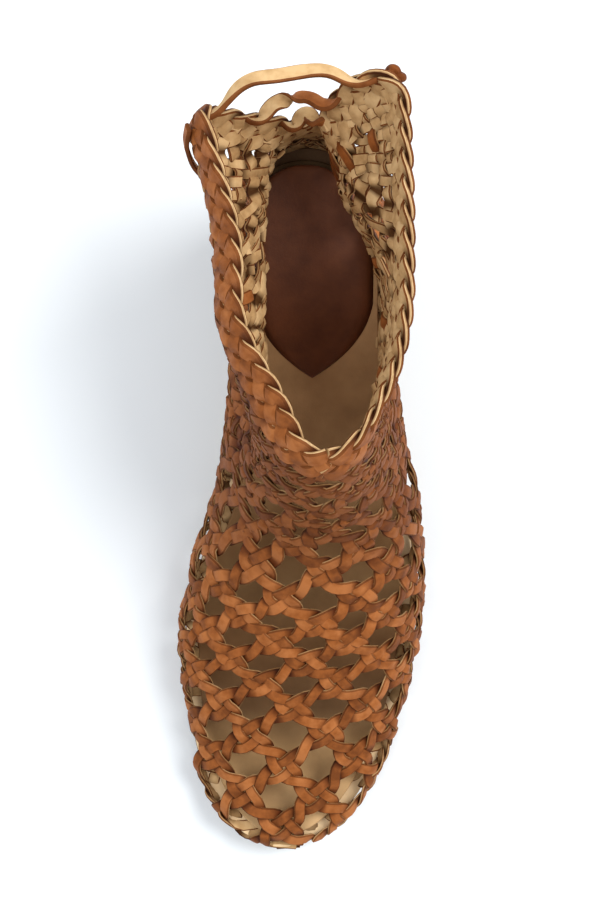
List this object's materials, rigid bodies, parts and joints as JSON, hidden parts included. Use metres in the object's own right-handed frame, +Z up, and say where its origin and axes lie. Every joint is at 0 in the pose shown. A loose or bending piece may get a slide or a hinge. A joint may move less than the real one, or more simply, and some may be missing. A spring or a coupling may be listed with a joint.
{
  "type": "mid-heel boot",
  "caption": "Mid-heel ankle boot with an open, hand-woven leather upper, a plaited collar, a laced notch at the back and a stacked heel.",
  "frame": {"origin": "the floor under the centre of the heel's tread, between the shoe's lowest points", "axes": "+Z up, toe towards -Y, the outer (lateral) side of the left foot towards +X"},
  "size_m": [0.0863, 0.2515, 0.1335],
  "materials": {
    "woven_leather": "soft matt vegetable-tanned leather, cognac outside and natural inside",
    "sole_leather": "smooth natural sole leather with a dark edge",
    "insole_leather": "matt natural leather",
    "pad_leather": "soft dark red-brown leather",
    "stacked_leather": "stacked leather layers, waxed",
    "heel_rubber": "matt",
    "lace_leather": "flat leather lace, brown outside and natural inside"
  },
  "bodies": {
    "root": {"upper": "woven_leather", "outsole": "sole_leather", "insole": "insole_leather", "heel_pad": "pad_leather", "heel_block": "stacked_leather", "heel_lift": "heel_rubber", "lace_bar_top": "lace_leather", "lace_bar_middle": "lace_leather", "lace_bar_low": "lace_leather", "lace_stop_top": "lace_leather", "lace_stop_middle": "lace_leather", "lace_stop_low": "lace_leather", "lace_tail_top": "lace_leather", "lace_tail_low": "lace_leather", "lace_knot_top": "lace_leather", "lace_knot_low": "lace_leather"}
  },
  "joints": []
}
